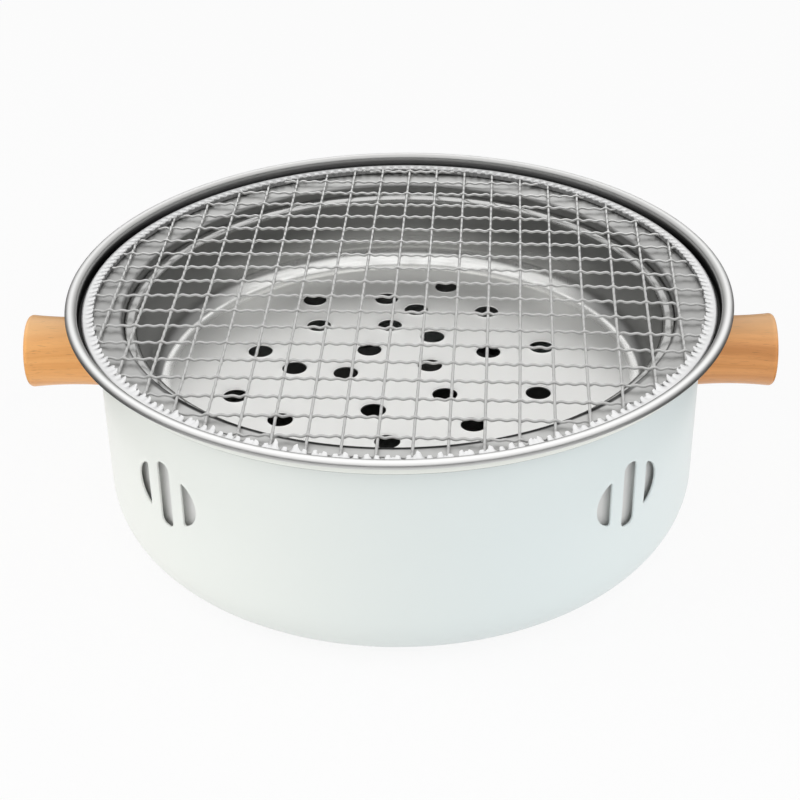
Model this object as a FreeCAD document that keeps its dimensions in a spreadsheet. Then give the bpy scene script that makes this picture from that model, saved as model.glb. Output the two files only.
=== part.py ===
import FreeCAD, Part
import math
import os
import re
import Sketcher

# Round table-top charcoal grill. The origin is the centre of the flat base, +Z is up and the two handles
# lie along X. All lengths are millimetres.
doc = FreeCAD.newDocument("CharcoalGrill")
sheet = doc.addObject("Spreadsheet::Sheet", "Sizes")

sizes = {
    # Whole object
    "overall_height": 101.3,
    "rim_diameter": 265.8,
    "seat_gap": 0.3,
    "cut_overrun": 2.0,
    "match_tolerance": 0.01,
    # White drawn pot
    "rim_overhang": 11.4,
    "wall_draft": 1.0,
    "shell_wall": 1.0,
    "base_round": 25.0,
    "shell_flange_width": 7.0,
    "shell_bend_round": 1.5,
    # Punched air vents, each a slot between two upright bars with a D-shaped slot on either side
    "vent_drop": 23.5,
    "vent_width": 34.4,
    "vent_rise": 28.2,
    "vent_side_rise": 19.5,
    "vent_slot_width": 7.0,
    "vent_bar_width": 6.45,
    "vent_corner": 2.8,
    "vent_angle": 46.0,
    # Steel collar with its flattened rolled bead, grate recess and pan well
    "steel_sheet": 0.8,
    "bead_width": 4.6,
    "bead_rise": 3.2,
    "recess_depth": 6.6,
    "bend_round": 1.0,
    "ledge_width": 17.7,
    "well_depth": 5.0,
    "seat_width": 3.2,
    # Steel band that hangs close behind the vents, with holes that clear the screw heads
    "shield_sheet": 0.6,
    "shield_gap": 1.4,
    "shield_foot_height": 28.0,
    "shield_hem": 3.6,
    "shield_hole_diameter": 16.0,
    # Charcoal pan
    "pan_flange_clearance": 0.8,
    "pan_bowl_clearance": 1.2,
    "pan_draft": 3.4,
    "pan_depth": 30.6,
    "pan_round": 6.0,
    "pan_lip_round": 1.6,
    "air_hole_diameter": 10.0,
    # Ash tray
    "tray_sheet": 0.6,
    "tray_clearance": 3.4,
    "tray_flange_width": 5.0,
    "tray_draft": 9.0,
    "tray_height": 16.0,
    "tray_round": 5.0,
    # Wire grate and its folded edge
    "grate_clearance": 1.6,
    "net_thickness": 1.6,
    "net_pitch": 12.5,
    "wire_diameter": 1.3,
    "net_turn": -2.1,
    "band_strip": 0.4,
    "band_width": 4.4,
    "band_round": 0.6,
    "net_edge_gap": 0.2,
    # Turned wooden handles, a little waisted, and their fasteners
    "handle_diameter": 30.4,
    "handle_neck_diameter": 29.2,
    "handle_waist_round": 160.0,
    "handle_length": 30.8,
    "handle_drop": 7.7,
    "handle_edge_round": 2.0,
    "insert_diameter": 9.0,
    "insert_length": 12.0,
    "insert_recess": 0.5,
    "screw_diameter": 6.0,
    "screw_hole_diameter": 6.6,
    "screw_tip_room": 3.0,
    "screw_chamfer": 0.6,
    "head_diameter": 11.0,
    "head_height": 3.6,
    "head_round": 1.8,
    "cross_span": 5.6,
    "cross_width": 1.6,
    "cross_depth": 1.8,
    "washer_diameter": 14.0,
    "washer_thickness": 1.2,
}

for row, (alias, number) in enumerate(sizes.items(), start=1):
    sheet.set(f"A{row}", alias)
    sheet.set(f"B{row}", str(number))
    sheet.setAlias(f"B{row}", alias)
doc.recompute()

# Heights and radii that several pieces share, as formulas of the sheet's sizes
LEDGE_TOP = "(overall_height - recess_depth)"
SHELL_TOP = f"({LEDGE_TOP} - steel_sheet)"
SEAT_TOP = f"({LEDGE_TOP} - well_depth)"
PAN_TOP = f"({SEAT_TOP} + seat_gap + steel_sheet)"
PAN_FLOOR = f"({PAN_TOP} - pan_depth)"
BEAD_RADIUS = "(bead_rise / 2)"
BEAD_HEIGHT = f"(overall_height - {BEAD_RADIUS})"
RECESS_RADIUS = "(rim_diameter / 2 - bead_width)"
BEAD_INNER = f"({RECESS_RADIUS} + {BEAD_RADIUS})"
BEAD_OUTER = f"(rim_diameter / 2 - {BEAD_RADIUS})"
WELL_RADIUS = f"({RECESS_RADIUS} - ledge_width)"
WELL_OUTSIDE = f"({WELL_RADIUS} + steel_sheet)"
MOUTH_RADIUS = f"({WELL_RADIUS} - seat_width)"
WALL_TOP = "(rim_diameter / 2 - rim_overhang)"
WALL_BASE = f"({WALL_TOP} - wall_draft)"
SHELL_FLANGE = f"({WALL_TOP} - shell_flange_width)"
SHELL_UNDER = f"({SHELL_TOP} - shell_wall)"
VENT_HEIGHT = f"({SHELL_TOP} - vent_drop - vent_rise / 2)"
HANDLE_HEIGHT = f"({SHELL_TOP} - handle_drop - handle_diameter / 2)"
GRATE_RADIUS = f"({RECESS_RADIUS} - grate_clearance)"
GRATE_BOTTOM = f"({LEDGE_TOP} + seat_gap)"
GRATE_THICKNESS = "(net_thickness + 2 * band_strip)"


def wall_at(height):
    return f"({WALL_BASE} + wall_draft * ({height}) / {SHELL_TOP})"


# A flat washer bears on the curved wall along two edges
HANDLE_SEAT = wall_at(HANDLE_HEIGHT)
WASHER_EDGE = wall_at(f"{HANDLE_HEIGHT} - washer_diameter / 2")
WASHER_SEAT = f"(sqrt(({WASHER_EDGE} - shell_wall)^2 - washer_diameter^2 / 4))"
HEAD_SEAT = f"({WASHER_SEAT} - washer_thickness)"
INSERT_START = f"({HANDLE_SEAT} + insert_recess)"


def bound(formula):
    return re.sub(r"[a-z]\w*", lambda word: ("Sizes." if word[0] in sizes else "") + word[0], formula)


def value(formula):
    return float(sheet.evalExpression(bound(formula)))


def new_body(label, placement=FreeCAD.Placement()):
    body = doc.addObject("PartDesign::Body", label)
    body.Label = label
    body.Placement = placement
    return body


def origin_feature(body, role):
    return next(feature for feature in body.Origin.OriginFeatures if feature.Role == role)


def new_sketch(body, name, plane, lift=None, turn=None):
    sketch = body.newObject("Sketcher::SketchObject", name)
    sketch.AttachmentSupport = [(origin_feature(body, plane), "")]
    sketch.MapMode = "FlatFace"
    if turn:
        sketch.AttachmentOffset = FreeCAD.Placement(
            FreeCAD.Vector(), FreeCAD.Rotation(FreeCAD.Vector(0, 1, 0), value(turn))
        )
    if lift:
        sketch.setExpression("AttachmentOffset.Base.z", bound(lift))
    return sketch


def pin_point(sketch, geometry, end, across, up):
    # Dimensions a point from the sketch's origin, or puts it on an axis where the formula is zero
    for kind, axis, formula in (("DistanceX", -2, across), ("DistanceY", -1, up)):
        if formula == "0":
            sketch.addConstraint(Sketcher.Constraint("PointOnObject", geometry, end, axis))
        else:
            index = sketch.addConstraint(Sketcher.Constraint(kind, -1, 1, geometry, end, value(formula)))
            sketch.setExpression(f"Constraints[{index}]", bound(formula))


def arc_between(start, end, radius, turn):
    # A minor arc from start to end; turn is +1 for anticlockwise and -1 for clockwise
    middle = (start + end) * 0.5
    chord = end - start
    rise = math.sqrt(max(radius**2 - (chord.Length / 2) ** 2, 0))
    left = FreeCAD.Vector(-chord.y, chord.x, 0).normalize()
    centre = middle + left * rise * turn
    through = centre + (middle - centre).normalize() * radius if rise else middle - left * radius * turn
    return Part.Arc(start, through, end)


def draw_outline(sketch, outline):
    # Each row is a corner (across, up), with (radius, turn) added where an arc leads on to the next corner
    corners = [FreeCAD.Vector(value(row[0]), value(row[1]), 0) for row in outline]
    edges = []
    for row, start, end in zip(outline, corners, corners[1:] + corners[:1]):
        if len(row) == 2:
            edges.append(sketch.addGeometry(Part.LineSegment(start, end)))
        else:
            edges.append(sketch.addGeometry(arc_between(start, end, value(row[2]), row[3])))
            index = sketch.addConstraint(Sketcher.Constraint("Radius", edges[-1], value(row[2])))
            sketch.setExpression(f"Constraints[{index}]", bound(row[2]))
    # An arc in a sketch always runs anticlockwise, so a clockwise one starts at its far corner
    heads = [2 if len(row) == 4 and row[3] < 0 else 1 for row in outline]
    for index, row in enumerate(outline):
        edge, before = edges[index], edges[index - 1]
        head, tail = heads[index], 3 - heads[index - 1]
        sketch.addConstraint(Sketcher.Constraint("Coincident", before, tail, edge, head))
        pin_point(sketch, edge, head, row[0], row[1])


def draw_circle(sketch, across, up, diameter):
    centre = FreeCAD.Vector(value(across), value(up), 0)
    circle = sketch.addGeometry(Part.Circle(centre, FreeCAD.Vector(0, 0, 1), value(diameter) / 2))
    pin_point(sketch, circle, 3, across, up)
    index = sketch.addConstraint(Sketcher.Constraint("Diameter", circle, value(diameter)))
    sketch.setExpression(f"Constraints[{index}]", bound(diameter))


def revolve(body, name, outline, kind="PartDesign::Revolution", axis="V_Axis"):
    sketch = new_sketch(body, name + "Sketch", "XZ_Plane")
    draw_outline(sketch, outline)
    feature = body.newObject(kind, name)
    feature.Profile = sketch
    feature.ReferenceAxis = (sketch, [axis])
    feature.Angle = 360
    doc.recompute()
    return feature


def ring_edges(shape, radius, height):
    near = value("match_tolerance")
    names = []
    for index, edge in enumerate(shape.Edges, start=1):
        if isinstance(edge.Curve, Part.Circle):
            right_size = abs(edge.Curve.Radius - value(radius)) < near
            right_place = abs(edge.Curve.Center.z - value(height)) < near
            if right_size and right_place:
                names.append(f"Edge{index}")
    return names


def round_rings(body, name, rings, radius):
    # Rounds the circular edges given as (radius, height) formulas
    base = body.Tip
    fillet = body.newObject("PartDesign::Fillet", name)
    edges = []
    for ring in rings:
        edges += ring_edges(base.Shape, *ring)
    fillet.Base = (base, edges)
    fillet.setExpression("Radius", bound(radius))
    doc.recompute()


def cut_through(body, name, sketch, length, midplane=False, backward=False):
    # A pocket has to take material away, so its direction is tested by volume
    before = body.Shape.Volume
    pocket = body.newObject("PartDesign::Pocket", name)
    pocket.Profile = sketch
    pocket.Midplane = midplane
    pocket.Reversed = backward
    pocket.setExpression("Length", bound(length))
    doc.recompute()
    if not body.Shape.Volume < before:
        raise ValueError(f"{name} cuts nothing")
    return pocket


def make_outer_shell():
    body = new_body("outer_shell")
    inside_top = f"({WALL_TOP} - shell_wall)"
    inside_base = f"({WALL_BASE} - shell_wall)"
    revolve(body, "PotWall", [
        ("0", "0"),
        (WALL_BASE, "0"),
        (WALL_TOP, SHELL_TOP),
        (SHELL_FLANGE, SHELL_TOP),
        (SHELL_FLANGE, SHELL_UNDER),
        (inside_top, SHELL_UNDER),
        (inside_base, "shell_wall"),
        ("0", "shell_wall"),
    ])
    round_rings(body, "BaseOutside", [(WALL_BASE, "0")], "base_round")
    round_rings(body, "BaseInside", [(inside_base, "shell_wall")], "base_round - shell_wall")
    round_rings(body, "FlangeInside", [(inside_top, SHELL_UNDER)], "shell_bend_round")
    round_rings(body, "FlangeOutside", [(WALL_TOP, SHELL_TOP)], "shell_bend_round + shell_wall")

    # Each cut goes right through the pot, so it makes a vent at the front and one at the back
    slot = "vent_slot_width / 2"
    bar = "(vent_slot_width / 2 + vent_bar_width)"
    side_depth = f"(vent_width / 2 - {bar})"
    side_round = f"((vent_side_rise^2 / 4 + {side_depth}^2) / (2 * {side_depth}))"
    top, bottom = f"{VENT_HEIGHT} + vent_rise / 2", f"{VENT_HEIGHT} - vent_rise / 2"
    for name, angle in (("Right", "vent_angle"), ("Left", "-vent_angle")):
        vents = new_sketch(body, f"Vent{name}Sketch", "XZ_Plane", turn=angle)
        draw_outline(vents, [
            (slot, f"{bottom} + vent_corner"),
            (slot, f"{top} - vent_corner", "vent_corner", 1),
            (f"{slot} - vent_corner", top),
            (f"vent_corner - {slot}", top, "vent_corner", 1),
            (f"-{slot}", f"{top} - vent_corner"),
            (f"-{slot}", f"{bottom} + vent_corner", "vent_corner", 1),
            (f"vent_corner - {slot}", bottom),
            (f"{slot} - vent_corner", bottom, "vent_corner", 1),
        ])
        for side, turn in (("", 1), ("-", -1)):
            draw_outline(vents, [
                (f"{side}{bar}", f"{VENT_HEIGHT} - vent_side_rise / 2", side_round, turn),
                (f"{side}vent_width / 2", VENT_HEIGHT, side_round, turn),
                (f"{side}{bar}", f"{VENT_HEIGHT} + vent_side_rise / 2"),
            ])
        cut_through(body, f"Vents{name}", vents, f"2 * ({WALL_TOP} + cut_overrun)", midplane=True)

    holes = new_sketch(body, "HandleHoleSketch", "YZ_Plane")
    draw_circle(holes, "0", HANDLE_HEIGHT, "screw_hole_diameter")
    cut_through(body, "HandleHoles", holes, f"2 * ({WALL_TOP} + cut_overrun)", midplane=True)
    return body


def make_rim_collar():
    body = new_body("rim_collar")
    curl = f"({BEAD_RADIUS} - steel_sheet)"
    revolve(body, "CollarSheet", [
        (MOUTH_RADIUS, f"{SEAT_TOP} - steel_sheet"),
        (WELL_OUTSIDE, f"{SEAT_TOP} - steel_sheet"),
        (WELL_OUTSIDE, f"{LEDGE_TOP} - steel_sheet"),
        (f"{RECESS_RADIUS} + steel_sheet", f"{LEDGE_TOP} - steel_sheet"),
        (f"{RECESS_RADIUS} + steel_sheet", BEAD_HEIGHT, curl, -1),
        (BEAD_INNER, f"{BEAD_HEIGHT} + {curl}"),
        (BEAD_OUTER, f"{BEAD_HEIGHT} + {curl}", curl, -1),
        (f"{BEAD_OUTER} + {curl}", BEAD_HEIGHT, curl, -1),
        (BEAD_OUTER, f"{BEAD_HEIGHT} - {curl}"),
        (BEAD_OUTER, f"{BEAD_HEIGHT} - {BEAD_RADIUS}", BEAD_RADIUS, 1),
        (f"{BEAD_OUTER} + {BEAD_RADIUS}", BEAD_HEIGHT, BEAD_RADIUS, 1),
        (BEAD_OUTER, f"{BEAD_HEIGHT} + {BEAD_RADIUS}"),
        (BEAD_INNER, f"{BEAD_HEIGHT} + {BEAD_RADIUS}", BEAD_RADIUS, 1),
        (RECESS_RADIUS, BEAD_HEIGHT),
        (RECESS_RADIUS, LEDGE_TOP),
        (WELL_RADIUS, LEDGE_TOP),
        (WELL_RADIUS, SEAT_TOP),
        (MOUTH_RADIUS, SEAT_TOP),
    ])
    round_rings(body, "InnerBends", [
        (WELL_RADIUS, SEAT_TOP),
        (WELL_OUTSIDE, f"{LEDGE_TOP} - steel_sheet"),
        (RECESS_RADIUS, LEDGE_TOP),
    ], "bend_round")
    round_rings(body, "OuterBends", [
        (WELL_OUTSIDE, f"{SEAT_TOP} - steel_sheet"),
        (WELL_RADIUS, LEDGE_TOP),
        (f"{RECESS_RADIUS} + steel_sheet", f"{LEDGE_TOP} - steel_sheet"),
    ], "bend_round + steel_sheet")
    return body


def make_heat_shield():
    # Its top flange is welded under the shell's flange
    body = new_body("heat_shield")
    outside = f"({WALL_BASE} - shell_wall - shield_gap)"
    inside = f"({outside} - shield_sheet)"
    foot = "(shield_foot_height + shield_sheet)"
    under = f"({SHELL_UNDER} - shield_sheet)"
    revolve(body, "ShieldBand", [
        (f"{inside} - shield_hem", "shield_foot_height"),
        (outside, "shield_foot_height"),
        (outside, SHELL_UNDER),
        (SHELL_FLANGE, SHELL_UNDER),
        (SHELL_FLANGE, under),
        (inside, under),
        (inside, foot),
        (f"{inside} - shield_hem", foot),
    ])
    round_rings(body, "BendsInside", [(inside, foot), (inside, under)], "bend_round")
    round_rings(body, "BendsOutside", [(outside, "shield_foot_height"), (outside, SHELL_UNDER)],
                "bend_round + shield_sheet")
    holes = new_sketch(body, "HeadHoleSketch", "YZ_Plane")
    draw_circle(holes, "0", HANDLE_HEIGHT, "shield_hole_diameter")
    cut_through(body, "HeadHoles", holes, f"2 * ({WALL_TOP} + cut_overrun)", midplane=True)
    return body


def make_charcoal_pan():
    body = new_body("charcoal_pan")
    flange = f"({WELL_RADIUS} - pan_flange_clearance)"
    bowl = f"({MOUTH_RADIUS} - pan_bowl_clearance - steel_sheet)"
    floor = f"({bowl} - pan_draft)"
    revolve(body, "PanSheet", [
        ("0", f"{PAN_FLOOR} - steel_sheet"),
        (f"{floor} + steel_sheet", f"{PAN_FLOOR} - steel_sheet"),
        (f"{bowl} + steel_sheet", f"{PAN_TOP} - steel_sheet"),
        (flange, f"{PAN_TOP} - steel_sheet"),
        (flange, PAN_TOP),
        (bowl, PAN_TOP),
        (floor, PAN_FLOOR),
        ("0", PAN_FLOOR),
    ])
    round_rings(body, "FloorInside", [(floor, PAN_FLOOR)], "pan_round")
    round_rings(body, "FloorOutside", [(f"{floor} + steel_sheet", f"{PAN_FLOOR} - steel_sheet")],
                "pan_round + steel_sheet")
    round_rings(body, "LipUnder", [(f"{bowl} + steel_sheet", f"{PAN_TOP} - steel_sheet")], "pan_lip_round")
    round_rings(body, "LipOver", [(bowl, PAN_TOP)], "pan_lip_round + steel_sheet")

    # Scattered air holes, as shares of the floor's radius
    hole_shares = [
        (0.12, 0.06), (0.18, -0.17), (-0.13, 0.19), (-0.22, 0.00), (0.13, 0.30), (-0.10, -0.29),
        (0.36, 0.17), (-0.05, 0.40), (-0.43, 0.04), (0.29, -0.40), (-0.04, -0.52), (-0.35, 0.40),
        (0.06, 0.54), (0.55, -0.16), (-0.46, -0.36), (-0.58, 0.18), (0.58, 0.21), (0.36, 0.52),
        (-0.07, 0.64), (-0.65, -0.18), (-0.38, 0.63), (0.19, 0.75), (-0.27, -0.66), (0.09, -0.825),
        (0.47, -0.58), (-0.52, -0.61),
    ]
    holes = new_sketch(body, "AirHoleSketch", "XY_Plane", lift=PAN_FLOOR)
    for across_share, up_share in hole_shares:
        across = f"{floor} * {across_share}" if across_share else "0"
        up = f"{floor} * {up_share}" if up_share else "0"
        draw_circle(holes, across, up, "air_hole_diameter")
    cut_through(body, "AirHoles", holes, "steel_sheet + cut_overrun")
    return body


def make_ash_tray():
    body = new_body("ash_tray")
    under = "(shell_wall + seat_gap)"
    rim = f"({under} + tray_height)"
    flange = f"({MOUTH_RADIUS} - tray_clearance)"
    mouth = f"({flange} - tray_flange_width)"
    floor = f"({mouth} - tray_draft)"
    revolve(body, "TraySheet", [
        ("0", under),
        (f"{floor} + tray_sheet", under),
        (f"{mouth} + tray_sheet", f"{rim} - tray_sheet"),
        (flange, f"{rim} - tray_sheet"),
        (flange, rim),
        (mouth, rim),
        (floor, f"{under} + tray_sheet"),
        ("0", f"{under} + tray_sheet"),
    ])
    round_rings(body, "TrayInside", [(floor, f"{under} + tray_sheet")], "tray_round")
    round_rings(body, "TrayOutside", [(f"{floor} + tray_sheet", under)], "tray_round + tray_sheet")
    return body


def make_grate_net():
    # One round sheet with a square gap in every mesh; slivers at the edge stay closed under the band
    offset_shares = (0.37, 0.16)
    least_gap_share = 0.4
    pitch = value("net_pitch")
    half_gap = (pitch - value("wire_diameter")) / 2
    reach = value(f"{GRATE_RADIUS} - band_width")
    up = FreeCAD.Vector(0, 0, 1)
    turn = FreeCAD.Rotation(up, value("net_turn"))
    clear_disc = Part.Face(Part.Wire(Part.makeCircle(reach)))
    edge_radius = value(f"{GRATE_RADIUS} - band_strip - net_edge_gap")
    wires = [Part.Wire(Part.makeCircle(edge_radius))]
    count = math.ceil(reach / pitch) + 1
    for column in range(-count, count):
        for row in range(-count, count):
            centre = FreeCAD.Vector(column + offset_shares[0], row + offset_shares[1], 0) * pitch
            steps = ((-1, -1), (1, -1), (1, 1), (-1, 1), (-1, -1))
            corners = [turn.multVec(centre + FreeCAD.Vector(x, y, 0) * half_gap) for x, y in steps]
            mesh = Part.Face(Part.makePolygon(corners))
            if max(corner.Length for corner in corners) > reach:
                mesh = mesh.common(clear_disc)
            if mesh.Area > least_gap_share * (2 * half_gap) ** 2:
                wires.append(mesh.Faces[0].OuterWire)
    net = doc.addObject("Part::Feature", "grate_net")
    face = Part.makeFace(wires, "Part::FaceMakerBullseye")
    net.Shape = face.extrude(up * value("net_thickness"))
    net.Placement = FreeCAD.Placement(up * value(f"{GRATE_BOTTOM} + band_strip"), FreeCAD.Rotation())
    print("gaps in the grate net:", len(wires) - 1)
    return net


def make_grate_edge_band():
    body = new_body("grate_edge_band")
    inner = f"({GRATE_RADIUS} - band_width)"
    top = f"({GRATE_BOTTOM} + {GRATE_THICKNESS})"
    revolve(body, "BandStrip", [
        (inner, GRATE_BOTTOM),
        (GRATE_RADIUS, GRATE_BOTTOM),
        (GRATE_RADIUS, top),
        (inner, top),
        (inner, f"{top} - band_strip"),
        (f"{GRATE_RADIUS} - band_strip", f"{top} - band_strip"),
        (f"{GRATE_RADIUS} - band_strip", f"{GRATE_BOTTOM} + band_strip"),
        (inner, f"{GRATE_BOTTOM} + band_strip"),
    ])
    round_rings(body, "BandFold", [(GRATE_RADIUS, GRATE_BOTTOM), (GRATE_RADIUS, top)], "band_round")
    return body


def side_turn(angle):
    return FreeCAD.Rotation(FreeCAD.Vector(0, 0, 1), angle)


def lay_outward(piece, angle, distance):
    # Turns a piece built along its own Z so that it points out of the wall, at the handle's height
    outward = FreeCAD.Rotation(FreeCAD.Vector(0, 1, 0), 90)
    piece.Placement = FreeCAD.Placement(FreeCAD.Vector(), side_turn(angle) * outward)
    sign = "-" if angle else ""
    piece.setExpression("Placement.Base.x", bound(f"{sign}{distance}"))
    piece.setExpression("Placement.Base.z", bound(HANDLE_HEIGHT))


def make_handle(side, angle):
    # Turned about its own X axis, which is then lifted to the handle's height
    body = new_body(f"handle_{side}", FreeCAD.Placement(FreeCAD.Vector(), side_turn(angle)))
    body.setExpression("Placement.Base.z", bound(HANDLE_HEIGHT))
    half = "(handle_diameter / 2 + cut_overrun)"
    start = f"(sqrt({WALL_BASE}^2 - handle_diameter^2 / 4) - cut_overrun)"
    end = f"({HANDLE_SEAT} + handle_length)"
    revolve(body, "Turning", [
        (start, "0"),
        (end, "0"),
        (end, "handle_diameter / 2", "handle_waist_round", -1),
        (start, "handle_neck_diameter / 2"),
    ], axis="H_Axis")

    # The inner end is hollowed to sit on the pot's wall
    before = body.Shape.Volume
    revolve(body, "Saddle", [
        ("0", f"-{half}"),
        (wall_at(f"{HANDLE_HEIGHT} - {half}"), f"-{half}"),
        (wall_at(f"{HANDLE_HEIGHT} + {half}"), half),
        ("0", half),
    ], "PartDesign::Groove")
    if not body.Shape.Volume < before:
        raise ValueError("the saddle cuts nothing")

    bore = new_sketch(body, "InsertSketch", "YZ_Plane",
                      lift=f"{INSERT_START} + insert_length + screw_tip_room")
    draw_circle(bore, "0", "0", "insert_diameter")
    cut_through(body, "InsertBore", bore,
                "insert_recess + insert_length + screw_tip_room + cut_overrun")

    tip = body.Tip
    near = value("match_tolerance")
    edges = [
        f"Edge{index}" for index, edge in enumerate(tip.Shape.Edges, start=1)
        if isinstance(edge.Curve, Part.Circle) and abs(edge.Curve.Center.x - value(end)) < near
    ]
    fillet = body.newObject("PartDesign::Fillet", "EndRound")
    fillet.Base = (tip, edges)
    fillet.setExpression("Radius", bound("handle_edge_round"))
    doc.recompute()
    return body


def make_tube(label, outside, bore, length):
    outer = doc.addObject("Part::Cylinder", label + "_outside")
    inner = doc.addObject("Part::Cylinder", label + "_bore")
    outer.setExpression("Radius", bound(f"{outside} / 2"))
    outer.setExpression("Height", bound(length))
    inner.setExpression("Radius", bound(f"{bore} / 2"))
    inner.setExpression("Height", bound(f"{length} + 2 * cut_overrun"))
    inner.setExpression("Placement.Base.z", bound("-cut_overrun"))
    tube = doc.addObject("Part::Cut", label)
    tube.Base = outer
    tube.Tool = inner
    tube.Label = label
    return tube


def make_insert(side, angle):
    insert = make_tube(f"handle_insert_{side}", "insert_diameter", "screw_diameter", "insert_length")
    lay_outward(insert, angle, INSERT_START)
    return insert


def make_washer(side, angle):
    washer = make_tube(f"handle_washer_{side}", "washer_diameter", "screw_hole_diameter",
                       "washer_thickness")
    lay_outward(washer, angle, HEAD_SEAT)
    return washer


def make_screw(side, angle):
    # Built along its own Z: the head's bearing face is at zero and the shank points up
    body = new_body(f"handle_screw_{side}")
    shank = f"({INSERT_START} + insert_length - {HEAD_SEAT})"
    revolve(body, "ScrewTurning", [
        ("0", "-head_height"),
        ("head_diameter / 2", "-head_height"),
        ("head_diameter / 2", "0"),
        ("screw_diameter / 2", "0"),
        ("screw_diameter / 2", f"{shank} - screw_chamfer"),
        ("screw_diameter / 2 - screw_chamfer", shank),
        ("0", shank),
    ])
    round_rings(body, "HeadRound", [("head_diameter / 2", "-head_height")], "head_round")
    cross = new_sketch(body, "CrossSketch", "XY_Plane", lift="-head_height")
    arm, half = "cross_span / 2", "cross_width / 2"
    quarter = [(arm, half), (half, half), (half, arm)]
    outline = []
    for across_sign, up_sign, corners in (("", "", quarter), ("-", "", quarter[::-1]),
                                          ("-", "-", quarter), ("", "-", quarter[::-1])):
        outline += [(across_sign + across, up_sign + up) for across, up in corners]
    draw_outline(cross, outline)
    cut_through(body, "CrossRecess", cross, "cross_depth", backward=True)
    lay_outward(body, angle, HEAD_SEAT)
    return body


pieces = [
    make_outer_shell(),
    make_rim_collar(),
    make_heat_shield(),
    make_charcoal_pan(),
    make_ash_tray(),
    make_grate_net(),
    make_grate_edge_band(),
]
for side, angle in (("right", 0), ("left", 180)):
    for make in (make_handle, make_insert, make_screw, make_washer):
        pieces.append(make(side, angle))

doc.recompute()
for item in doc.Objects:
    if "Invalid" in item.State or "Error" in item.State:
        raise ValueError(f"{item.Label} did not build: {item.State}")
for piece in pieces:
    if piece.Shape.isNull() or not piece.Shape.isValid():
        raise ValueError(f"{piece.Label} has no valid shape")

os.makedirs("parts", exist_ok=True)
for piece in pieces:
    piece.Shape.exportStep(f"parts/{piece.Label}.step")
    print(piece.Label, "solids", len(piece.Shape.Solids), "volume", round(piece.Shape.Volume, 1))
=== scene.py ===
import math
import random

import bmesh
import bpy
import numpy as np
from mathutils import Matrix, Vector
from mathutils.geometry import delaunay_2d_cdt


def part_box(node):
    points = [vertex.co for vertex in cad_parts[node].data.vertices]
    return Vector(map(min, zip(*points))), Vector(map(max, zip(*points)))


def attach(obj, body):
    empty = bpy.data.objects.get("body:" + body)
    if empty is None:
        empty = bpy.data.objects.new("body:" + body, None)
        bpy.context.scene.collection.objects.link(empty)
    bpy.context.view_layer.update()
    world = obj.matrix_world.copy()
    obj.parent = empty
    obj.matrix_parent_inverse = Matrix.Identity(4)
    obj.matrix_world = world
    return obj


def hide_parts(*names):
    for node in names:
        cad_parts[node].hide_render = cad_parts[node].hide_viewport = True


# Round table-top charcoal grill. Lengths are millimetres and become metres where a mesh is made.
# The zones and spans of finishes and the places of lamps are metres
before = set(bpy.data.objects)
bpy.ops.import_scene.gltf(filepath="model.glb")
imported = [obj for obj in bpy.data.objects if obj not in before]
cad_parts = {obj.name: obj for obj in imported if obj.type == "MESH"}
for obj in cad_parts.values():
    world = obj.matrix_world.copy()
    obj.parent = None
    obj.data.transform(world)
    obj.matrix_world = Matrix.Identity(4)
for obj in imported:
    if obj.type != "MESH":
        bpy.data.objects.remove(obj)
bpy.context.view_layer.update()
metre = 0.001
weldGap = 2e-6
flatGap = 1e-7
print("frame loaded")


def reachOf(node):
    low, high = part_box(node)
    return max(high.x, high.y, -low.x, -low.y) / metre


def bottomOf(node):
    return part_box(node)[0].z / metre


def topOf(node):
    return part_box(node)[1].z / metre


# Section lines and meshes turned from them
def roundedLine(corners, steps):
    # Each corner is (radius, height, bend); the bend turns it into an arc
    line = [np.array(corners[0][:2], float)]
    for before, corner, after in zip(corners, corners[1:], corners[2:]):
        middle = np.array(corner[:2], float)
        first = np.array(before[:2], float) - middle
        second = np.array(after[:2], float) - middle
        first /= np.linalg.norm(first)
        second /= np.linalg.norm(second)
        half = math.acos(max(-1, min(1, float(first @ second)))) / 2
        towards = (first + second) / np.linalg.norm(first + second)
        centre = middle + towards * corner[2] / math.sin(half)
        begin = middle + first * corner[2] / math.tan(half) - centre
        turn = math.pi - 2 * half
        if begin[0] * first[1] - begin[1] * first[0] > 0:
            turn = -turn
        for step in range(steps + 1):
            angle = turn * step / steps
            line.append(centre + np.array([
                begin[0] * math.cos(angle) - begin[1] * math.sin(angle),
                begin[0] * math.sin(angle) + begin[1] * math.cos(angle),
            ]))
    line.append(np.array(corners[-1][:2], float))
    return line


def arcLine(centre, radius, start, end, steps):
    angles = np.radians(np.linspace(start, end, steps + 1))
    return [
        np.array([centre[0] + radius * math.cos(a), centre[1] + radius * math.sin(a)])
        for a in angles
    ]


def offsetLine(line, distance):
    # Moves an open line to its left, keeping the sheet's thickness round bends
    points = np.array(line)
    along = np.diff(points, axis=0)
    along /= np.linalg.norm(along, axis=1)[:, None]
    left = np.stack([-along[:, 1], along[:, 0]], axis=1)
    normals = np.concatenate([left[:1], left[:-1] + left[1:], left[-1:]])
    normals /= np.linalg.norm(normals, axis=1)[:, None]
    stretch = np.concatenate([[1], 1 / np.einsum("ij,ij->i", normals[1:-1], left[1:]), [1]])
    return list(points + normals * (distance * stretch)[:, None])


def endCap(line, thickness, steps=4):
    # Half round at the end of a sheet, from its left side to its right side
    along = line[-1] - line[-2]
    heading = math.degrees(math.atan2(along[1], along[0]))
    return arcLine(line[-1], thickness / 2, heading + 90, heading - 90, steps)[1:-1]


def sheetSection(line, thickness, closedStart=True):
    left = offsetLine(line, thickness / 2)
    right = offsetLine(line, -thickness / 2)
    section = left + endCap(line, thickness) + right[::-1]
    if closedStart:
        section += endCap(line[::-1], thickness)
    return section


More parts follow.
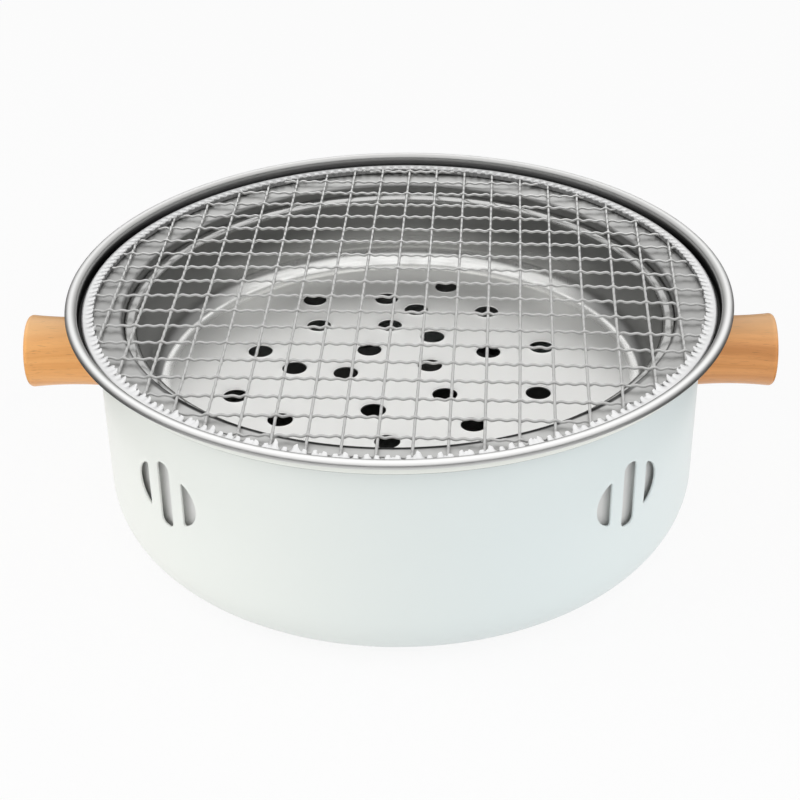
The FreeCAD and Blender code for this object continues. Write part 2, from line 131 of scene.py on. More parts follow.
def ringFaces(rings, size, closed=True):
    # Four-sided faces between the rows of a shape that runs round to its start
    faces = []
    for ring in range(rings):
        here, there = ring * size, (ring + 1) % rings * size
        for spot in range(size if closed else size - 1):
            ahead = (spot + 1) % size
            faces.append((here + spot, there + spot, there + ahead, here + ahead))
    return faces


def tubeFaces(rings, size):
    # Four-sided faces between closed loops that follow each other
    faces = []
    for ring in range(rings - 1):
        here, there = ring * size, (ring + 1) * size
        for spot in range(size):
            ahead = (spot + 1) % size
            faces.append((here + spot, here + ahead, there + ahead, there + spot))
    return faces


def turnedMesh(section, segments, closed=True):
    # Revolves a section about Z; the section is a list of (radius, height)
    section = np.array(section)
    angles = np.arange(segments) * 2 * math.pi / segments
    rings = np.stack([
        section[None, :, 0] * np.cos(angles)[:, None],
        section[None, :, 0] * np.sin(angles)[:, None],
        np.broadcast_to(section[None, :, 1], (segments, len(section))),
    ], axis=2)
    return rings.reshape(-1, 3), ringFaces(segments, len(section), closed)


def loopNormals(loop):
    # Outward unit normals of an anticlockwise loop
    points = np.array(loop)
    along = np.roll(points, -1, axis=0) - np.roll(points, 1, axis=0)
    along /= np.linalg.norm(along, axis=1)[:, None]
    return np.stack([along[:, 1], -along[:, 0]], axis=1)


def insideLoop(points, loop):
    inside = np.zeros(len(points), bool)
    for (ax, ay), (bx, by) in zip(loop, np.roll(loop, -1, axis=0)):
        crosses = (ay > points[:, 1]) != (by > points[:, 1])
        slope = (bx - ax) / (by - ay) if by != ay else 0.0
        inside ^= crosses & (points[:, 0] < ax + (points[:, 1] - ay) * slope)
    return inside


def perforatedSheet(outline, openings, fill, margin):
    # Triangles between an outline and the loops of its openings, with fill points in the plain part
    fill = np.array(fill)
    for loop in openings:
        fill = fill[~insideLoop(fill, loop + loopNormals(loop) * margin)]
    points, edges = [], []
    for loop in [np.array(outline)] + openings:
        start = len(points)
        points += [Vector((x, y)) for x, y in loop]
        edges += [(start + i, start + (i + 1) % len(loop)) for i in range(len(loop))]
    points += [Vector((x, y)) for x, y in fill]
    made = delaunay_2d_cdt(points, edges, [], 1, flatGap)
    flat = np.array([[v.x, v.y] for v in made[0]])
    faces = np.array(made[2])
    middles = flat[faces].mean(axis=1)
    keep = np.ones(len(faces), bool)
    for loop in openings:
        keep &= ~insideLoop(middles, loop)
    return flat, faces[keep]


def punchedEdge(loop, rounding, thickness, place, flare=0.0, lip=0.0):
    # The rolled edge of a punched opening, from the sheet's face to its back; place maps (x, y, depth).
    # A flare raises the face round the opening to a low lip
    normals = loopNormals(loop)
    steps = [math.radians(a) for a in (0, 22, 45, 68, 90)]
    roll = [(rounding * (1 - math.sin(a)), rounding * (1 - math.cos(a))) for a in steps]
    rings = [(out, depth - lip) for out, depth in roll]
    rings += [(out, thickness - depth) for out, depth in roll[::-1]]
    if flare:
        slope = [(1.0, 0.0), (0.75, 0.16), (0.5, 0.5), (0.25, 0.84)]
        rings = [(rounding + flare * share, -lip * rise) for share, rise in slope] + rings
        rings.append((rounding + flare, thickness))
    points = []
    for out, depth in rings:
        points += [place(x, y, depth) for x, y in loop + normals * out]
    return np.array(points), tubeFaces(len(rings), len(loop))


def joinParts(parts):
    points, faces = [], []
    for partPoints, partFaces in parts:
        start = sum(len(p) for p in points)
        points.append(np.array(partPoints))
        faces += [tuple(int(i) + start for i in face) for face in partFaces]
    return np.concatenate(points), faces


def makePiece(name, points, faces, body, material, replaced=(), sharp=40, weld=True):
    mesh = bpy.data.meshes.new(name)
    mesh.from_pydata((np.array(points) * metre).tolist(), [], faces)
    made = bmesh.new()
    made.from_mesh(mesh)
    if weld:
        bmesh.ops.remove_doubles(made, verts=made.verts, dist=weldGap)
        bmesh.ops.recalc_face_normals(made, faces=made.faces)
    made.to_mesh(mesh)
    made.free()
    mesh.shade_smooth()
    mesh.set_sharp_from_angle(angle=math.radians(sharp))
    mesh.materials.append(material)
    piece = bpy.data.objects.new(name, mesh)
    bpy.context.scene.collection.objects.link(piece)
    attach(piece, body)
    if replaced:
        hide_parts(*replaced)


# Shader sockets that can be used in plain expressions
class Socket:
    def __init__(self, finish, node, output=0):
        self.finish = finish
        self.node = node
        self.output = output

    def named(self, output):
        return Socket(self.finish, self.node, output)

    def maths(self, operation, first, second=0.0):
        return self.finish.add("ShaderNodeMath", {"operation": operation}, {0: first, 1: second})

    def __add__(self, other):
        return self.maths("ADD", self, other)

    def __radd__(self, other):
        return self.maths("ADD", other, self)

    def __sub__(self, other):
        return self.maths("SUBTRACT", self, other)

    def __rsub__(self, other):
        return self.maths("SUBTRACT", other, self)

    def __mul__(self, other):
        return self.maths("MULTIPLY", self, other)

    def __rmul__(self, other):
        return self.maths("MULTIPLY", other, self)

    def __pow__(self, other):
        return self.maths("POWER", self, other)


class Finish:
    def __init__(self, name, group=bpy.data.materials):
        self.material = group.new(name)
        self.material.use_nodes = True
        self.tree = self.material.node_tree
        self.tree.nodes.clear()

    def add(self, kind, settings, sockets, output=0):
        node = self.tree.nodes.new(kind)
        for key, setting in settings.items():
            setattr(node, key, setting)
        for key, given in sockets.items():
            if isinstance(given, Socket):
                self.tree.links.new(given.node.outputs[given.output], node.inputs[key])
            else:
                node.inputs[key].default_value = given
        return Socket(self, node, output)

    def place(self):
        return self.add("ShaderNodeTexCoord", {}, {}, "Object")

    def split(self, vector):
        parts = self.add("ShaderNodeSeparateXYZ", {}, {0: vector})
        return parts.named(0), parts.named(1), parts.named(2)

    def vector(self, x, y, z):
        return self.add("ShaderNodeCombineXYZ", {}, {0: x, 1: y, 2: z})

    def noise(self, vector, scale, detail=3.0, rough=0.5):
        return self.add("ShaderNodeTexNoise", {},
                        {"Vector": vector, "Scale": scale, "Detail": detail, "Roughness": rough})

    def ramp(self, value, low, high):
        # 0 below low, 1 above high and smooth between
        return self.add("ShaderNodeMapRange", {"interpolation_type": "SMOOTHSTEP"},
                        {0: value, 1: low, 2: high, 3: 0.0, 4: 1.0})

    def blend(self, factor, first, second):
        return self.add("ShaderNodeMix", {"data_type": "RGBA"}, {0: factor, 6: first, 7: second}, 2)

    def bump(self, height, strength, distance):
        return self.add("ShaderNodeBump", {},
                        {"Height": height, "Strength": strength, "Distance": distance * metre})

    def surface(self, sockets):
        shader = self.add("ShaderNodeBsdfPrincipled", {}, sockets)
        self.add("ShaderNodeOutputMaterial", {}, {0: shader})
        return self.material

    def polar(self):
        x, y, z = self.split(self.place())
        return x, y, z, (x * x + y * y) ** 0.5


def colour(red, green, blue):
    return (red, green, blue, 1.0)


# Camera at the photograph's place: a fitted position, direction, roll and lens
camera = {
    "place": (16.3, -666.8, 447.3),
    "yaw": 1.42,
    "pitch": 30.964,
    "roll": -0.816,
    "lens": 84.16,
    "sensor": 36,
    "farthest": 50,
}


def makeCamera():
    yaw, pitch, roll = (math.radians(camera[key]) for key in ("yaw", "pitch", "roll"))
    level = math.cos(pitch)
    ahead = Vector((-math.sin(yaw) * level, math.cos(yaw) * level, -math.sin(pitch)))
    right = Vector((math.cos(yaw), math.sin(yaw), 0))
    up = right.cross(ahead)
    rightRolled = right * math.cos(roll) + up * math.sin(roll)
    upRolled = up * math.cos(roll) - right * math.sin(roll)
    turn = Matrix((rightRolled, upRolled, -ahead)).transposed().to_4x4()
    data = bpy.data.cameras.new("PhotoCamera")
    data.lens = camera["lens"]
    data.sensor_width = camera["sensor"]
    data.clip_end = camera["farthest"]
    made = bpy.data.objects.new("PhotoCamera", data)
    made.matrix_world = Matrix.Translation(Vector(camera["place"]) * metre) @ turn
    bpy.context.scene.collection.objects.link(made)
    bpy.context.scene.camera = made


makeCamera()
print("camera set")


# White painted pot
potLook = {
    "paint": colour(0.80, 0.82, 0.775),
    "paintCoolLight": colour(0.71, 0.775, 0.775),
    "coolLightSpan": (-0.12, 0.08),
    "roughness": 0.34,
    "segments": 240,
    "wall": 1.0,
    "draft": 1.0,
    "baseRound": 25.0,
    "flange": 7.0,
    "bend": 2.5,
    "bandLow": 38.0,
    "bandHigh": 78.0,
    "ventWidth": 34.4,
    "ventRise": 28.2,
    "sideRise": 19.5,
    "slot": 7.0,
    "bar": 6.45,
    "slotCorner": 2.8,
    "tipRound": 0.8,
    "ventDrop": 23.5,
    "seam": 90,
    "ventAngles": (136, 224, 316, 404),
    "screwAngles": (180, 360),
    "edgeRound": 0.34,
    "screwHole": 6.6,
    "lineSteps": 16,
    "cornerSteps": 8,
    "slotSteps": 12,
    "bowSteps": 22,
    "barSteps": 13,
    "holeSteps": 32,
    "seamRows": 8,
    "bandRows": 13,
    "fillMargin": 0.9,
}
shellTop = topOf("outer_shell")
shellReach = reachOf("outer_shell")
handleAxis = (topOf("handle_right") + bottomOf("handle_right")) / 2


def wallReach(height):
    return shellReach - potLook["draft"] * (1 - height / shellTop)


def ventLoops():
    # Loops of one vent about its centre, anticlockwise: a slot and a D on either side
    look = potLook
    half = look["slot"] / 2
    rise = look["ventRise"] / 2
    corner = look["slotCorner"]
    slot = []
    for x, y, start in ((1, 1, 0), (-1, 1, 90), (-1, -1, 180), (1, -1, 270)):
        centre = (x * (half - corner), y * (rise - corner))
        slot += arcLine(centre, corner, start, start + 90, look["cornerSteps"])
        side = slot[-1]
        if start in (90, 270):
            drop = np.array([0, -y * 2 * (rise - corner)])
            slot += [side + drop * share for share in np.linspace(0, 1, look["slotSteps"] + 1)[1:-1]]
    inner = half + look["bar"]
    outer = look["ventWidth"] / 2
    tall = look["sideRise"] / 2
    deep = outer - inner
    bow = (tall ** 2 + deep ** 2) / (2 * deep)
    bowCentre = outer - bow
    tip = look["tipRound"]
    tipX = inner + tip
    tipY = math.sqrt((bow - tip) ** 2 - (tipX - bowCentre) ** 2)
    lean = math.degrees(math.atan2(tipY, tipX - bowCentre))
    side = arcLine((bowCentre, 0), bow, -lean, lean, look["bowSteps"])
    side += arcLine((tipX, tipY), tip, lean, 180, look["cornerSteps"])[1:]
    side += [np.array([inner, y]) for y in np.linspace(tipY, -tipY, look["barSteps"] + 1)[1:-1]]
    side += arcLine((tipX, -tipY), tip, 180, 360 - lean, look["cornerSteps"])[:-1]
    mirrored = [np.array([-x, y]) for x, y in side][::-1]
    return [np.array(slot), np.array(side), np.array(mirrored)]


def makePot(material):
    look = potLook
    wall = look["wall"]
    segments = look["segments"]
    outside = roundedLine([
        (0, 0),
        (shellReach - look["draft"], 0, look["baseRound"]),
        (shellReach, shellTop, look["bend"]),
        (shellReach - look["flange"], shellTop),
    ], look["lineSteps"])
    inside = roundedLine([
        (0, wall),
        (shellReach - look["draft"] - wall, wall, look["baseRound"] - wall),
        (shellReach - wall, shellTop - wall, look["bend"] - wall),
        (shellReach - look["flange"], shellTop - wall),
    ], look["lineSteps"])
    low, high = look["bandLow"], look["bandHigh"]

    def below(line, lift):
        return [p for p in line if p[1] < low - lift] + [np.array([wallReach(low) - lift, low])]

    def above(line, lift):
        return [np.array([wallReach(high) - lift, high])] + [p for p in line if p[1] > high]

    lower = below(outside, 0)
    lowerInside = below(inside, wall)
    upper = above(outside, 0) + above(inside, wall)[::-1]
    parts = [turnedMesh(lower[1:], segments, False), turnedMesh(lowerInside[1:], segments, False),
             turnedMesh(upper, segments, False)]
    # The floor's two faces close at the axis
    for line in (lower, lowerInside):
        ring = turnedMesh([line[1]], segments, False)[0]
        parts.append((np.vstack([ring, [[0, 0, line[0][1]]]]),
                      [(i, (i + 1) % segments, segments) for i in range(segments)]))

    # The wall's vented band is laid out flat, as length round the wall by height, and wrapped on both faces
    flatScale = math.radians(1) * shellReach
    ventHeight = shellTop - look["ventDrop"] - look["ventRise"] / 2
    loops = []
    for angle in look["ventAngles"]:
        for loop in ventLoops():
            degrees = np.degrees(np.arcsin(loop[:, 0] / shellReach))
            loops.append(np.stack([(angle + degrees) * flatScale, loop[:, 1] + ventHeight], axis=1))
    for angle in look["screwAngles"]:
        centre = (angle * flatScale, handleAxis)
        hole = arcLine(centre, look["screwHole"] / 2, 0, 360, look["holeSteps"])
        loops.append(np.array(hole[:-1]))
    stations = (look["seam"] + np.arange(segments + 1) * 360 / segments) * flatScale
    outline = [(s, low) for s in stations]
    seam = np.linspace(low, high, look["seamRows"] + 1)[1:-1]
    outline += [(stations[-1], y) for y in seam]
    outline += [(s, high) for s in stations[::-1]]
    outline += [(stations[0], y) for y in seam[::-1]]
    rows = np.linspace(low, high, look["bandRows"] + 1)[1:-1]
    fill = [(s, y) for s in stations[1:-1] for y in rows]
    widened = [loop + loopNormals(loop) * look["edgeRound"] for loop in loops]
    flat, faces = perforatedSheet(outline, widened, fill, look["fillMargin"])

    def place(x, y, depth):
        angle = math.radians(x / flatScale)
        reach = wallReach(y) - depth
        return reach * math.cos(angle), reach * math.sin(angle), y

    for depth in (0, wall):
        parts.append(([place(x, y, depth) for x, y in flat], faces.tolist()))
    for loop in loops:
        parts.append(punchedEdge(loop, look["edgeRound"], wall, place))
    points, faces = joinParts(parts)
    makePiece("pot_shell", points, faces, "pot", material, ["outer_shell"], 50)


def paintFinish():
    finish = Finish("WhitePaint")
    where = finish.place()
    x, y, z = finish.split(where)
    broad = finish.noise(where, 9.0, 2.0)
    # The pot's right side is tinted cooler, a painted cast of light, varied by broad noise
    across = finish.ramp(x, *potLook["coolLightSpan"]) + (broad - 0.5) * 0.3
    tone = finish.blend(across, potLook["paint"], potLook["paintCoolLight"])
    peel = finish.noise(where, 420.0, 2.0)
    ripple = finish.noise(where, 38.0, 1.0)
    return finish.surface({
        "Base Color": tone,
        "Roughness": potLook["roughness"] + (finish.noise(where, 60.0) - 0.5) * 0.08,
        "Coat Weight": 0.15,
        "Coat Roughness": 0.22,
        "Normal": finish.bump(peel * 0.3 + ripple, 0.12, 0.12),
    })


makePot(paintFinish())
print("pot made")


# Steel of the rim, pan, shield and tray, with tones for painted shade and highlight
steelLook = {
    "rim": colour(0.64, 0.64, 0.63),
    "rimWorn": colour(0.55, 0.55, 0.54),
    "rimBeadHighlight": colour(0.92, 0.92, 0.91),
    "rimDeepShade": colour(0.035, 0.035, 0.035),
    "rimBackShade": colour(0.16, 0.16, 0.16),
    "rimShade": colour(0.32, 0.32, 0.315),
    "pan": colour(0.88, 0.88, 0.86),
    "panWorn": colour(0.82, 0.82, 0.805),
    "panWallShade": colour(0.30, 0.30, 0.295),
    "panFlangeShade": colour(0.56, 0.56, 0.55),
    "mill": colour(0.78, 0.78, 0.765),
    "millWorn": colour(0.68, 0.68, 0.67),
    "tray": colour(0.30, 0.30, 0.295),
    "trayWorn": colour(0.20, 0.20, 0.195),
}


def spunBump(finish, z, radius, angle, strength):
    # Fine turning lines that run round the piece
    lines = finish.noise(finish.vector(radius * 2600.0, z * 2600.0, angle * 2.0), 1.0, 2.0)
    return finish.bump(lines, strength, 0.02)


# Where the rim's finish, painted shade and painted highlight change, in metres from the axis, above the
# base or along X and Y
rimZones = {
    "recessInside": (0.1258, 0.1268),
    "recessOutside": (0.1284, 0.1288),
    "recessTop": (0.0984, 0.1000),
    "wellOutside": (0.1114, 0.1124),
    "wellFoot": (0.0897, 0.0905),
    "edgeOutside": (0.1127, 0.1137),
    "edgeFoot": (0.0930, 0.0938),
    "edgeFront": (-0.085, -0.045),
    "beadInside": (0.1285, 0.1289),
    "beadFoot": (0.0965, 0.0980),
    "beadDrop": 0.006,
    "shineInside": (0.1292, 0.1308),
    "outerEdgeShadeInside": (0.1312, 0.1329),
    "skirtInside": (0.1286, 0.1290),
    "skirtTop": (0.0975, 0.0983),
    "sides": (0.070, 0.115),
    "back": (0.03, 0.10),
}


def rimFinish():
    finish = Finish("RimSteel")
    x, y, z, radius = finish.polar()
    where = finish.place()
    smudge = finish.noise(where, 26.0, 3.0)
    zone = rimZones
    # The recess beside the net, the well and the ledge's front edge are darkened with painted shade,
    # lighter at the back
    recess = finish.ramp(radius, *zone["recessInside"]) * (1 - finish.ramp(z, *zone["recessTop"]))
    recess = recess * (1 - finish.ramp(radius, *zone["recessOutside"]))
    well = (1 - finish.ramp(radius, *zone["wellOutside"])) * finish.ramp(z, *zone["wellFoot"])
    edge = (1 - finish.ramp(radius, *zone["edgeOutside"])) * finish.ramp(z, *zone["edgeFoot"])
    edge = edge * (1 - finish.ramp(y, *zone["edgeFront"]))
    # The bead carries a painted highlight, and the skirt under it is painted like the pot
    lowered = z + finish.ramp(radius, *zone["beadInside"]) * zone["beadDrop"]
    bead = finish.ramp(lowered, *zone["beadFoot"])
    # The rim's sides and the outer edge of the bead are darkened with painted shade
    outer = finish.ramp(x.maths("ABSOLUTE", x), *zone["sides"])
    outerEdgeShade = finish.ramp(radius, *zone["outerEdgeShadeInside"]) * (0.4 + outer * 0.6)
    skirt = finish.ramp(radius, *zone["skirtInside"]) * (1 - finish.ramp(z, *zone["skirtTop"]))
    dark = finish.blend(finish.ramp(y, *zone["back"]), steelLook["rimDeepShade"], steelLook["rimBackShade"])
    tone = finish.blend(smudge, steelLook["rim"], steelLook["rimWorn"])
    tone = finish.blend(outer * 0.5, tone, steelLook["rimShade"])
    shine = finish.ramp(radius, *zone["shineInside"])
    shine = finish.blend(shine, steelLook["rimWorn"], steelLook["rimBeadHighlight"])
    tone = finish.blend(bead, tone, shine)
    tone = finish.blend(outerEdgeShade, tone, steelLook["rimShade"])
    tone = finish.blend(well, tone, steelLook["rimShade"])
    tone = finish.blend(recess + edge, tone, dark)
    return finish.surface({
        "Base Color": finish.blend(skirt, tone, potLook["paint"]),
        "Metallic": 1 - skirt,
        "Roughness": 0.44 + smudge * 0.06 - bead * 0.04,
        "Normal": spunBump(finish, z, radius, x.maths("ARCTAN2", y, x), 0.05),
    })


rimLook = {
    "sheet": 0.8,
    "segments": 360,
    "beadWidth": 4.6,
    "beadRise": 3.2,
    "recess": 6.6,
    "bend": 1.2,
    "ledge": 17.7,
    "well": 5.0,
    "seat": 3.2,
    "bendSteps": 8,
    "beadSteps": 40,
}
rimReach = reachOf("rim_collar")
rimTop = topOf("rim_collar")
ledgeTop = rimTop - rimLook["recess"]
recessReach = rimReach - rimLook["beadWidth"]
wellReach = recessReach - rimLook["ledge"]


def makeRim(material):
    look = rimLook
    half = look["sheet"] / 2
    beadCentre = np.array([rimReach - look["beadWidth"] / 2, rimTop - look["beadRise"] / 2])
    beadHalf = np.array([look["beadWidth"], look["beadRise"]]) / 2 - half
    seat = ledgeTop - look["well"] - half
    line = roundedLine([
        (wellReach - look["seat"], seat),
        (wellReach + half, seat, look["bend"]),
        (wellReach + half, ledgeTop - half, look["bend"]),
        (recessReach + half, ledgeTop - half, look["bend"]),
        (recessReach + half, beadCentre[1]),
    ], look["bendSteps"])
    roll = arcLine((0, 0), 1, 180, -90, look["beadSteps"])
    line += [beadCentre + spot * beadHalf for spot in roll[1:]]
    points, faces = turnedMesh(sheetSection(line, look["sheet"]), look["segments"])
    makePiece("rim_ring", points, faces, "pot", material, ["rim_collar"])


makeRim(rimFinish())
print("rim made")


# Charcoal pan with its scattered air holes
panLook = {
    "sheet": 0.8,
    "segments": 240,
    "flangeGap": 0.8,
    "bowlGap": 1.2,
    "draft": 3.4,
    "depth": 30.6,
    "round": 9.4,
    "lip": 2.0,
    "hole": 10.0,
    "edgeRound": 0.3,
    "flare": 0.8,
    "holeLip": 0.1,
    "lineSteps": 12,
    "holeSteps": 40,
    "fillStep": 5.0,
    "fillEdge": 2.5,
    "fillMargin": 1.2,
    "holeShares": [
        (0.12, 0.06), (0.18, -0.17), (-0.13, 0.19), (-0.22, 0.00), (0.13, 0.30), (-0.10, -0.29),
        (0.36, 0.17), (-0.05, 0.40), (-0.43, 0.04), (0.29, -0.40), (-0.04, -0.52), (-0.35, 0.40),
        (0.06, 0.54), (0.55, -0.16), (-0.46, -0.36), (-0.58, 0.18), (0.58, 0.21), (0.36, 0.52),
        (-0.07, 0.64), (-0.65, -0.18), (-0.38, 0.63), (0.19, 0.75), (-0.27, -0.66), (0.09, -0.825),
        (0.47, -0.58), (-0.52, -0.61),
    ],
}


# Where the pan's finish and painted shade change, in metres from the axis, above the base or along X and Y
panZones = {
    "flangeFoot": (0.0890, 0.0900),
    "wallFoot": (0.0665, 0.0800),
    "wallTop": (0.0880, 0.0900),
    "sides": (0.060, 0.088),
    "sideWall": (0.0976, 0.0986),
    "fillet": (0.0932, 0.0950),
    "floorBack": (0.050, 0.080),
}


def panFinish():
    finish = Finish("PanSteel")
    x, y, z, radius = finish.polar()
    where = finish.place()
    cloud = finish.noise(where, 14.0, 3.0)
    fine = finish.noise(where, 240.0, 2.0)
    zone = panZones
    # The walls, the flange and the fillet at the sides are darkened with painted shade
    flange = finish.ramp(z, *zone["flangeFoot"])
    side = finish.ramp(x.maths("ABSOLUTE", x), *zone["sides"])
    wall = finish.ramp(z, *zone["wallFoot"]) * (1 - finish.ramp(z, *zone["wallTop"]))
    sideWall = side * finish.ramp(radius, *zone["sideWall"]) * (1 - flange)
    wall = wall.maths("MAXIMUM", wall, sideWall)
    fillet = finish.ramp(radius, *zone["fillet"])
    tone = finish.blend(cloud, steelLook["pan"], steelLook["panWorn"])
    tone = finish.blend(flange * (1 - side * 0.4), tone, steelLook["panFlangeShade"])
    tone = finish.blend(flange * side * 0.6, tone, steelLook["panWallShade"])
    # The back of the floor, below the wall, is a little darker: painted shade
    back = finish.ramp(y, *zone["floorBack"]) * (1 - fillet)
    tone = finish.blend(back * 0.6, tone, steelLook["panWallShade"])
    return finish.surface({
        "Base Color": finish.blend(wall, tone, steelLook["panWallShade"]),
        "Metallic": 1.0,
        "Roughness": 0.32 + cloud * 0.06 - fillet * 0.14 + wall * 0.14,
        "Normal": finish.bump(cloud + fine * 0.02, 0.10, 0.6),
    })


def makePan(material):
    look = panLook
    half = look["sheet"] / 2
    top = topOf("charcoal_pan") - half
    bottom = top - look["depth"]
    mouth = wellReach - rimLook["seat"] - look["bowlGap"] - half
    floor = mouth - look["draft"]
    line = roundedLine([
        (0, bottom),
        (floor, bottom, look["round"]),
        (mouth, top, look["lip"]),
        (wellReach - look["flangeGap"], top),
    ], look["lineSteps"])[1:]
    parts = [turnedMesh(sheetSection(line, look["sheet"], False), look["segments"], False)]
    edge = line[0][0]
    holes = []
    for across, up in look["holeShares"]:
        centre = np.array([across, up]) * (floor - half)
        hole = arcLine(centre, look["hole"] / 2, 0, 360, look["holeSteps"])
        holes.append(np.array(hole[:-1]))
    angles = np.arange(look["segments"]) * 2 * math.pi / look["segments"]
    outline = [(edge * math.cos(a), edge * math.sin(a)) for a in angles]
    steps = np.arange(-edge, edge, look["fillStep"])
    fill = [(u, v) for u in steps for v in steps if math.hypot(u, v) < edge - look["fillEdge"]]
    widened = [hole + loopNormals(hole) * (look["edgeRound"] + look["flare"]) for hole in holes]
    flat, faces = perforatedSheet(outline, widened, fill, look["fillMargin"])

    def place(x, y, depth):
        return x, y, bottom + half - depth

    for depth in (0, look["sheet"]):
        parts.append(([place(u, v, depth) for u, v in flat], faces.tolist()))
    for hole in holes:
        parts.append(punchedEdge(hole, look["edgeRound"], look["sheet"], place,
                                 look["flare"], look["holeLip"]))
    points, faces = joinParts(parts)
    makePiece("pan_dish", points, faces, "charcoal_pan_body", material,
              ["charcoal_pan"], 50)


makePan(panFinish())
print("pan made")


# Woven, crimped wire net, a little crowned, that the binding holds at its edge
netLook = {
    "wire": 1.12,
    "crimp": 0.24,
    "pitch": 12.53,
    "turn": -2.1,
    "offset": (-1.64, -4.22),
    "wavesPerMesh": 2.5,
    "crown": 1.5,
    "sides": 8,
    "step": 0.55,
    "wander": 0.25,
    "endGap": 1.2,
    "edgeGap": 2.0,
    "crossingPower": 6,
    "bowSpan": 2.2,
    "flattening": 30,
    "leastWave": 0.25,
    "stretch": 3.6,
    "stretchFrom": 5.0,
    "stretchOver": 95.0,
    "stretchPower": 1.3,
    "heldEdge": 10.0,
    "seed": 7,
    "bright": colour(0.74, 0.74, 0.73),
    "worn": colour(0.62, 0.62, 0.61),
    "shadedFront": colour(0.56, 0.56, 0.55),
    "shadedFrontSpan": (-0.01, 0.05),
}
bandReach = reachOf("grate_edge_band")
bandTop = topOf("grate_edge_band")
bandBottom = bottomOf("grate_edge_band")
netMiddle = (topOf("grate_net") + bottomOf("grate_net")) / 2


def wireTube(path, side, radius, sides):
    along = np.gradient(path, axis=0)
    along /= np.linalg.norm(along, axis=1)[:, None]
    up = np.cross(along, side[None, :])
    angles = np.arange(sides) * 2 * math.pi / sides
    outward = np.cos(angles)[None, :, None] * side[None, None, :]
    outward = outward + np.sin(angles)[None, :, None] * up[:, None, :]
    rings = path[:, None, :] + radius * outward
    count = len(path)
    faces = tubeFaces(count, sides)
    faces.append(tuple(range(sides))[::-1])
    faces.append(tuple((count - 1) * sides + spot for spot in range(sides)))
    return rings.reshape(-1, 3), faces


def makeNet(material):
    look = netLook
    chance = random.Random(look["seed"])
    reach = bandReach - look["endGap"]
    pitch = look["pitch"]
    turn = math.radians(look["turn"])
    axes = np.array([[math.cos(turn), math.sin(turn), 0], [-math.sin(turn), math.cos(turn), 0]])
    parts = []
    count = int(reach / pitch) + 2
    for family in (0, 1):
        along, across = axes[family], axes[1 - family]
        for index in range(-count, count + 1):
            offset = pitch * index + look["offset"][1 - family]
            if abs(offset) > reach - look["edgeGap"]:
                continue
            half = math.sqrt(reach ** 2 - offset ** 2)
            spots = np.linspace(-half, half, int(2 * half / look["step"]) + 1)
            shifted = spots - look["offset"][family]
            phase = 2 * math.pi * look["wavesPerMesh"] * shifted / pitch
            sign = 1 if family == 0 else -1
            crossing = np.cos(math.pi * shifted / pitch) ** look["crossingPower"]
            crimp = look["crimp"] + (look["wire"] / 2 - look["crimp"]) * crossing
            wave = sign * crimp * np.cos(phase + math.pi * index)
            bow = chance.uniform(-1, 1) * look["wander"]
            lean = chance.uniform(-1, 1) * look["wander"]
            drift = bow * np.cos(spots / half * look["bowSpan"]) + lean * spots / reach
            away = (spots ** 2 + offset ** 2) / reach ** 2
            wave = wave * np.clip((1 - away) * look["flattening"], look["leastWave"], 1)
            height = netMiddle + look["crown"] * (1 - away) + wave
            path = spots[:, None] * along + (offset + drift)[:, None] * across
            # The meshes are drawn out towards the front, but not at the bound edge
            held = np.clip((reach - np.hypot(path[:, 0], path[:, 1])) / look["heldEdge"], 0, 1)
            ahead = np.clip(-path[:, 1] - look["stretchFrom"], 0, None) / look["stretchOver"]
            path[:, 1] -= look["stretch"] * ahead ** look["stretchPower"] * held
            path[:, 2] = height
            side = across if family == 0 else -across
            parts.append(wireTube(path, side, look["wire"] / 2, look["sides"]))
    points, faces = joinParts(parts)
    makePiece("wire_net", points, faces, "grate", material, ["grate_net"], 60, False)


def wireFinish():
    finish = Finish("NetWire")
    where = finish.place()
    patch = finish.noise(where, 55.0, 3.0)
    x, y, z = finish.split(where)
    # The wires are darker over the middle and the front, a painted shade, and duller there too
    shadedFront = 1 - finish.ramp(y, *netLook["shadedFrontSpan"])
    tone = finish.blend(patch, netLook["bright"], netLook["worn"])
    return finish.surface({
        "Base Color": finish.blend(shadedFront * 0.6, tone, netLook["shadedFront"]),
        "Metallic": 0.9 - shadedFront * 0.55,
        "Roughness": 0.28 + patch * 0.12 + shadedFront * 0.10,
        "Normal": finish.bump(finish.noise(where, 900.0), 0.08, 0.03),
    })


makeNet(wireFinish())
print("net made")


# Folded binding: a smooth band outside, fine pleats inside and teeth that stand up most at the front
bindingLook = {
    "pleats": 210,
    "perPleat": 10,
    "peaks": 90,
    "width": 4.3,
    "smooth": 2.0,
    "scallop": 0.45,
    "fold": 0.6,
    "curl": 1.5,
    "tooth": 1.6,
    "pleatSharp": 3.0,
    "toothNarrow": 2.6,
    "toothPower": 1.5,
    "backTeeth": 0.15,
    "frontPower": 0.7,
    "sink": 0.1,
    "slackPower": 1.3,
    "edgeRound": [(1.0, 0.0), (0.45, 0.14), (0.13, 0.5)],
    "edgeFlat": 0.3,
    "footRound": 0.5,
    "lipFoot": 0.1,
    "lipRise": 0.9,
    "peakRange": (0.3, 1.15),
    "pleatRange": (0.6, 1.1),
    "seed": 11,
    "bright": colour(0.96, 0.96, 0.96),
    "worn": colour(0.88, 0.88, 0.88),
    "valleyShade": colour(0.26, 0.26, 0.26),
    "valleyEdge": 0.0004,
    "valleyDepths": (0.0006, 0.0001),
}


